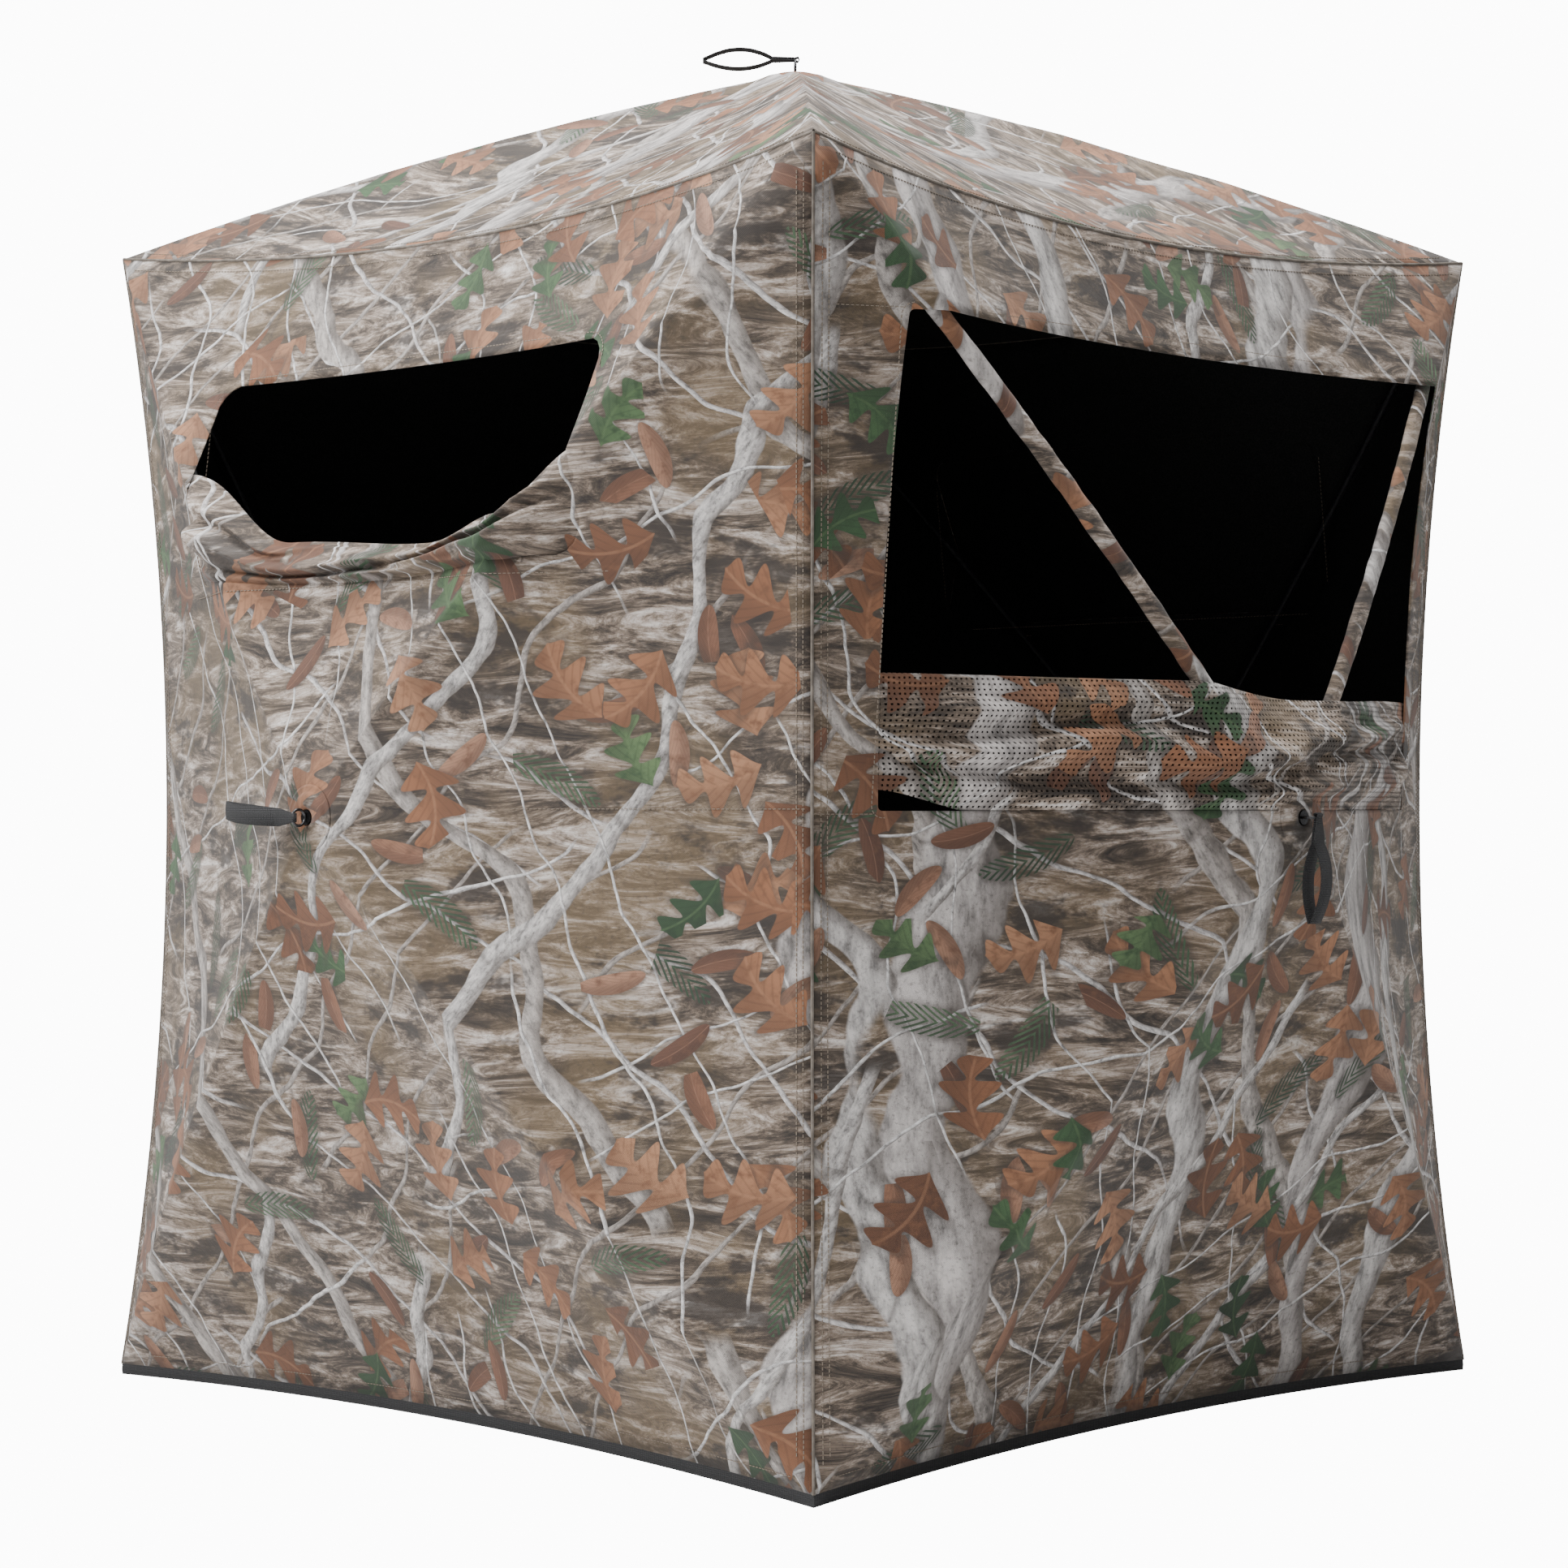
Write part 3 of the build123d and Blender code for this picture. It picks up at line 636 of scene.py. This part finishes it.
# %% Back window cover
bm = bmesh.new()
left, right, low, high = WINDOW[0] - 0.03, WINDOW[1] + 0.03, WINDOW[2] - 0.03, WINDOW[3] + 0.03
grid = [[bm.verts.new((left + (right - left) * i / 60, low + (high - low) * j / 24,
                       out_at("back", left + (right - left) * i / 60, low + (high - low) * j / 24) + 0.0045))
         for j in range(25)] for i in range(61)]
for one, two in zip(grid, grid[1:]):
    for k in range(24):
        bm.faces.new((one[k], two[k], two[k + 1], one[k + 1]))
cover = finish_piece("window_cover", bm, "back", (PRINT, COATING), thick=0.0012)
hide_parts("back_window_cover")
place = face_matrix("back")
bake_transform(cover)

# %% [markdown]
# Each pull strap is a length of webbing folded through the eye and stitched to itself. A strip
# follows a teardrop path: two plies lie flat at the stitching and open into a loop beyond it.

# %% Pull straps
EYE_TOP = 0.0303
STRAP_LENGTH = 0.144
NECK = 0.03
CROWN = 0.0012
STRAPS = {"front": (-1, 0), "right": (0, -1), "back": (0, -1), "left": (0, -1),
          "roof": (-math.sqrt(0.5), -math.sqrt(0.5))}


def strap_path(length=STRAP_LENGTH, belly=0.017, stitched=0.036):
    """Closed path in (along, out): out on the upper ply, back on the lower."""
    upper = []
    for k in range(41):
        x = length * k / 40
        s = max(0.0, (x - stitched) / (length - stitched))
        upper.append((x, 0.0017 + belly * (math.sin(math.pi * min(1, s) ** 0.85) * 0.75 + 0.25 * s)
                      * (1 - s ** 9)))
    lower = [(x, -y * 0.85) for x, y in reversed(upper)]
    wrap = [(-0.0045, -0.0035), (-0.0062, 0.0), (-0.0045, 0.0035)]
    return upper + lower + wrap


for face, along in STRAPS.items():
    push = ROOF_PUSH if face == "roof" else WALL_PUSH
    side = (along[1], -along[0])
    bm = bmesh.new()
    pairs = []
    for x, y in strap_path():
        wide = 0.0125 if x > NECK else 0.0062 + 0.0063 * max(0.0, x / NECK)
        twist = 0.010 * max(0.0, x / STRAP_LENGTH) ** 2
        row = []
        for edge in (-1, 0, 1):
            aside = edge * wide + twist
            level = push + EYE_TOP + y + CROWN * (edge == 0) * (x > NECK)
            row.append(bm.verts.new((along[0] * x + side[0] * aside, along[1] * x + side[1] * aside, level)))
        pairs.append(row)
    for a, b in zip(pairs, pairs[1:] + pairs[:1]):
        for k in range(2):
            bm.faces.new((a[k], b[k], b[k + 1], a[k + 1]))
    bmesh.ops.recalc_face_normals(bm, faces=bm.faces[:])
    strap = finish_piece("webbing_strap_" + face, bm, face, (WEBBING, WEBBING), thick=0.0015)
    strap.modifiers["thickness"].offset = 0.0
    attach(strap, "pull_strap_" + face)
    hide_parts("pull_strap_" + face)
print("straps", len(STRAPS))

# %% [markdown]
# The two upper poles beside the large opening run in sleeves of the printed cloth. A sleeve
# is looser than its pole, so it is a flattened tube with a seam and slow, uneven folds.

# %% Pole sleeves
PIN_OUT = WALL_PUSH - 0.0203
PIN_RING = 0.030
TIP_IN = 0.010
TIP_GAP = 0.052
diagonal = math.hypot(HALF, MIDDLE)
for number, turn in ((1, 1), (2, -1)):
    way = Vector((turn * HALF / diagonal, MIDDLE / diagonal, 0))
    first = way * PIN_RING + Vector((0, 0, PIN_OUT))
    last = way * (diagonal - TIP_GAP) + Vector((0, 0, -TIP_IN))
    along = (last - first).normalized()
    flat = Vector((0, 0, 1)).cross(along).normalized()
    out = along.cross(flat)
    bm = bmesh.new()
    rings = []
    for k in range(91):
        s = 0.05 + 0.90 * k / 90
        core = first.lerp(last, s) + out * (POLE_BOW * 4 * s * (1 - s))
        loose = noise.noise(Vector((s * 14, number * 5.0, 0.0)))
        ring = []
        for m in range(16):
            a = 2 * math.pi * m / 16
            wave = 1 + 0.10 * noise.noise(Vector((s * 40, m * 0.7, number)))
            ring.append(bm.verts.new(core + flat * (0.0150 + 0.002 * loose) * math.cos(a) * wave
                                     + out * 0.0082 * math.sin(a) * wave))
        rings.append(ring)
    for a, b in zip(rings, rings[1:]):
        for m in range(16):
            n = (m + 1) % 16
            bm.faces.new((a[m], a[n], b[n], b[m]))
    bmesh.ops.recalc_face_normals(bm, faces=bm.faces[:])
    sleeve = finish_piece("pole_sleeve_%d" % number, bm, "right", (PRINT, PRINT), thick=0.0008)
    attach(sleeve, "pole_right_%d" % number)
    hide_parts("net_sleeve_%d" % number)
print("sleeves made")

# %% [markdown]
# Stitches repeat along a line, which is what Geometry Nodes are for: turn the line into a
# curve, resample it at the stitch spacing, and set a little bar on every point, turned along
# the curve. The same tree makes the zip's teeth, with other sizes.

# %% Stitch tree


def stitch_tree():
    tree = bpy.data.node_groups.new("bars along lines", "GeometryNodeTree")
    face = tree.interface
    face.new_socket("Geometry", in_out="INPUT", socket_type="NodeSocketGeometry")
    for label in ("Spacing", "Bar length", "Bar width", "Bar height"):
        face.new_socket(label, in_out="INPUT", socket_type="NodeSocketFloat")
    face.new_socket("Material", in_out="INPUT", socket_type="NodeSocketMaterial")
    face.new_socket("Geometry", in_out="OUTPUT", socket_type="NodeSocketGeometry")
    add, link = tree.nodes.new, tree.links.new
    start, end = add("NodeGroupInput"), add("NodeGroupOutput")
    curve, points = add("GeometryNodeMeshToCurve"), add("GeometryNodeCurveToPoints")
    points.mode = "LENGTH"
    bar, size = add("GeometryNodeMeshCube"), add("ShaderNodeCombineXYZ")
    turn = add("FunctionNodeAlignRotationToVector")
    turn.axis = "X"
    place, real = add("GeometryNodeInstanceOnPoints"), add("GeometryNodeRealizeInstances")
    paint = add("GeometryNodeSetMaterial")
    link(start.outputs["Geometry"], curve.inputs[0])
    link(curve.outputs[0], points.inputs[0])
    link(start.outputs["Spacing"], points.inputs["Length"])
    for slot, label in enumerate(("Bar length", "Bar width", "Bar height")):
        link(start.outputs[label], size.inputs[slot])
    link(size.outputs[0], bar.inputs["Size"])
    link(points.outputs["Tangent"], turn.inputs["Vector"])
    link(points.outputs[0], place.inputs["Points"])
    link(bar.outputs[0], place.inputs["Instance"])
    link(turn.outputs[0], place.inputs["Rotation"])
    link(place.outputs[0], real.inputs[0])
    link(real.outputs[0], paint.inputs[0])
    link(start.outputs["Material"], paint.inputs["Material"])
    link(paint.outputs[0], end.inputs[0])
    return tree


BARS = stitch_tree()


def bars_along(name, lines, face, sizes, made):
    """Run the tree on polylines given in a face's axes, and keep the result as a plain mesh."""
    place = face_matrix(face)
    points, edges = [], []
    for line in lines:
        first = len(points)
        points += [tuple(place @ Vector(p)) for p in line]
        edges += [(first + k, first + k + 1) for k in range(len(line) - 1)]
    guide_mesh = bpy.data.meshes.new(name + "_guide")
    guide_mesh.from_pydata(points, edges, [])
    guide = bpy.data.objects.new(name + "_guide", guide_mesh)
    bpy.context.collection.objects.link(guide)
    node = guide.modifiers.new("bars", "NODES")
    node.node_group = BARS
    sockets = {i.name: i.identifier for i in BARS.interface.items_tree if i.in_out == "INPUT"}
    for label, value in zip(("Spacing", "Bar length", "Bar width", "Bar height"), sizes):
        node[sockets[label]] = value
    node[sockets["Material"]] = made
    graph = bpy.context.evaluated_depsgraph_get()
    data = bpy.data.meshes.new_from_object(guide.evaluated_get(graph))
    bpy.data.objects.remove(guide)
    obj = bpy.data.objects.new(name, data)
    bpy.context.collection.objects.link(obj)
    print(name, len(data.polygons), "faces")
    return obj


def on_face(face, flat, lift=0.0006):
    return [(x, y, out_at(face, x, y) + lift) for x, y in flat]


# %% Seams and stitching
STITCH = (0.0065, 0.0042, 0.0011, 0.0009)
for face in FACES:
    lines = []
    for side in range(4):
        for inset in ((0.972, 0.984) if side in (1, 3) and face != "roof" else (0.978,)):
            line = []
            for k in range(61):
                p = rim_point(face, side, -0.97 + 1.94 * k / 60) * inset
                line.append((p.x, p.y, out_at(face, p.x, p.y) + 0.0006))
            lines.append(line)
    if face in ("front", "back"):
        ring = outline_points(WINDOW, 0.009)
        lines.append(on_face(face, ring + ring[:1]))
        low = WINDOW[2] - 0.022
        lines.append(on_face(face, [(-0.44 + 0.88 * k / 40, low) for k in range(41)]))
    if face == "right":
        ring = outline_points(OPENING, 0.009)
        clear_of_hub = [p for p in ring + ring[:1] if p[1] > OPENING[2] + 0.05 or abs(p[0]) > 0.06]
        lines.append(on_face(face, clear_of_hub))
        for level in (OPENING[2] - 0.004, OPENING[3] + 0.002):
            lines.append(on_face(face, [(-0.69 + 0.075 * k / 10, level) for k in range(11)]))
    if face == "front":
        lines.append(on_face(face, [(0.30 + 0.38 * k / 30, 0.012) for k in range(31)]))
    stitches = bars_along("stitches_" + face, lines, face, STITCH, THREAD)
    follow_hub(stitches, face)

# %% Zip teeth
bottom = rim_point("left", 0, 0.0)
first = Vector((0, -LAND, WALL_PUSH))
teeth_line = []
for k in range(25):
    v = -MIDDLE + 0.064 + (MIDDLE - 0.064 - 0.124) * k / 24
    s = (v - first.y) / (bottom.y - first.y)
    teeth_line.append((0.0, v, first.z + (bottom.z - first.z) * s + 0.0030))
teeth = bars_along("zip_teeth", [teeth_line], "left", (0.0030, 0.0016, 0.0062, 0.0012), MOULDED)
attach(teeth, "root")

# %% [markdown]
# A patch of the printed cloth covers the plate that clamps the fabric, so no black disc shows.
# It is cut round, holed for the eye, and pulled down at its edge. The zip's tape and the corner
# pockets are webbing.

# %% Covers, zip tape and pockets


def lay_rows(name, rows, face, made, thick, closed):
    bm = bmesh.new()
    made_rows = [[bm.verts.new(p) for p in row] for row in rows]
    for a, b in zip(made_rows, made_rows[1:]):
        count = len(a)
        for k in range(count if closed else count - 1):
            n = (k + 1) % count
            bm.faces.new((a[k], a[n], b[n], b[k]))
    bmesh.ops.recalc_face_normals(bm, faces=bm.faces[:])
    return finish_piece(name, bm, face, (made, made), thick)


for face in FACES:
    push = ROOF_PUSH if face == "roof" else WALL_PUSH
    rows = []
    for radius, level in ((0.0115, 0.0056), (0.020, 0.0058), (0.029, 0.0056), (0.0325, 0.0050), (0.0345, 0.0030),
                          (0.037, 0.0016), (0.042, 0.0012), (0.0455, 0.0010)):
        rows.append([(radius * math.cos(math.pi * k / 24), radius * math.sin(math.pi * k / 24), push + level)
                     for k in range(48)])
    patch = lay_rows("plate_cover_" + face, rows, face, PRINT, 0.0004, True)
    patch.modifiers["thickness"].offset = 0.0
    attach(patch, "hub_" + face)
    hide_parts("hub_plate_" + face)

tape = lay_rows("zip_tape", [[(x, p[1], p[2] - 0.0008) for x in (-0.015, -0.007, 0.0, 0.007, 0.015)]
                             for p in teeth_line], "left", WEBBING, 0.0008, False)
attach(tape, "root")
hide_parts("door_zip")

POCKET_GAP = 0.005
POCKET = 0.014
POCKET_RISE = 0.012
pockets = bmesh.new()
for sx in (-1, 1):
    for sy in (-1, 1):
        for level, up in ((0.0, 1), (2 * MIDDLE - POCKET_GAP, -1)):
            rows = []
            for a in range(5):
                t = a / 4
                left = Vector((sx * (HALF - POCKET_GAP - POCKET * t), sy * (HALF - POCKET_GAP), level))
                right = Vector((sx * (HALF - POCKET_GAP), sy * (HALF - POCKET_GAP - POCKET * t), level))
                bulge = Vector((0, 0, up * POCKET_RISE * math.sqrt(1 - t * t)))
                rows.append([pockets.verts.new(left.lerp(right, k / 4) + bulge) for k in range(5)])
            for a, b in zip(rows[1:], rows[2:]):
                for k in range(4):
                    pockets.faces.new((a[k], a[k + 1], b[k + 1], b[k]))
bmesh.ops.recalc_face_normals(pockets, faces=pockets.faces[:])
data = bpy.data.meshes.new("corner_pouches")
pockets.to_mesh(data)
pockets.free()
data.materials.append(WEBBING)
pouches = bpy.data.objects.new("corner_pouches", data)
bpy.context.collection.objects.link(pouches)
solid = pouches.modifiers.new("thickness", "SOLIDIFY")
solid.thickness = 0.001
solid.offset = 0.0
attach(pouches, "root")
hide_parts("corner_pockets")
print("covers, tape and pockets made")

# %% [markdown]
# Panels meet in a folded seam that shows as a thin raised cord along every edge of the box.

# %% Edge seams
SEAM_RADIUS = 0.0021
for face, sides in (("front", (1, 2, 3)), ("right", (1, 2)), ("back", (1, 2)), ("left", (2,))):
    for side in sides:
        place = face_matrix(face)
        curve = bpy.data.curves.new("seam", "CURVE")
        curve.dimensions = "3D"
        curve.bevel_depth = SEAM_RADIUS
        curve.bevel_resolution = 2
        spline = curve.splines.new("POLY")
        spline.points.add(48)
        for k in range(49):
            spline.points[k].co = (*(place @ rim_point(face, side, -1 + 2 * k / 48)), 1)
        source = bpy.data.objects.new("seam_source", curve)
        bpy.context.collection.objects.link(source)
        data = bpy.data.meshes.new_from_object(source.evaluated_get(bpy.context.evaluated_depsgraph_get()))
        bpy.data.objects.remove(source)
        data.materials.clear()
        data.materials.append(SEAM)
        data.shade_smooth()
        seam = bpy.data.objects.new("edge_seam_%s_%d" % (face, side), data)
        bpy.context.collection.objects.link(seam)
        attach(seam, "root")

# %% [markdown]
# Studio: a pale floor that lights the cloth from below but isn't seen, a white surround, one
# large soft light in front and to the left, and one above.

# %% Stage and light
floor_mesh = bpy.data.meshes.new("floor")
floor_mesh.from_pydata([(-30, -30, 0), (30, -30, 0), (30, 30, 0), (-30, 30, 0)], [], [(0, 1, 2, 3)])
floor_made, g = material("floor")
floor_shader = g.add("ShaderNodeBsdfPrincipled", Base_Color=(0.86, 0.86, 0.86, 1), Roughness=0.9)
g.tree.links.new(floor_shader.outputs[0], g.add("ShaderNodeOutputMaterial").inputs[0])
floor_mesh.materials.append(floor_made)
floor = bpy.data.objects.new("floor", floor_mesh)
floor.location.z = -0.001
floor.visible_camera = False
bpy.context.collection.objects.link(floor)
world = bpy.data.worlds.new("studio")
bpy.context.scene.world = world
world.use_nodes = True
world.node_tree.nodes["Background"].inputs[0].default_value = (1, 1, 1, 1)
world.node_tree.nodes["Background"].inputs[1].default_value = 0.42
tree = world.node_tree
seen = tree.nodes.new("ShaderNodeBackground")
seen.inputs[0].default_value = (1, 1, 1, 1)
seen.inputs[1].default_value = 12.0
rays, choice = tree.nodes.new("ShaderNodeLightPath"), tree.nodes.new("ShaderNodeMixShader")
tree.links.new(rays.outputs["Is Camera Ray"], choice.inputs[0])
tree.links.new(tree.nodes["Background"].outputs[0], choice.inputs[1])
tree.links.new(seen.outputs[0], choice.inputs[2])
tree.links.new(choice.outputs[0], tree.nodes["World Output"].inputs[0])


def soft_light(name, place, aim, size, power):
    lamp = bpy.data.lights.new(name, "AREA")
    lamp.size = size
    lamp.energy = power
    obj = bpy.data.objects.new(name, lamp)
    obj.location = place
    obj.rotation_euler = (Vector(aim) - Vector(place)).to_track_quat("-Z", "Y").to_euler()
    bpy.context.collection.objects.link(obj)


soft_light("key", (-1.6, -4.6, 4.2), (0, 0, 0.9), 2.0, 400)
soft_light("top", (0.5, -0.5, 5.0), (0, 0, 1.5), 3.0, 330)

# %% [markdown]
# The hubs, pins, poles and eyes are already the right shape, so they only need a finish.

# %% Finishes for the carried-over parts
FINISH = (("hub_plate", MOULDED), ("hub_", MOULDED), ("pole_", FIBRE), ("pivot_pins", STEEL), ("eye_bolt", STEEL),
          ("pull_strap", MOULDED), ("corner_pockets", MOULDED), ("door_zip", MOULDED),
          ("door_slider", STEEL), ("net_sleeve", FIBRE))
for name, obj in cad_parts.items():
    for start, finish in FINISH:
        if name.startswith(start):
            obj.data.materials.clear()
            obj.data.materials.append(finish)
            break
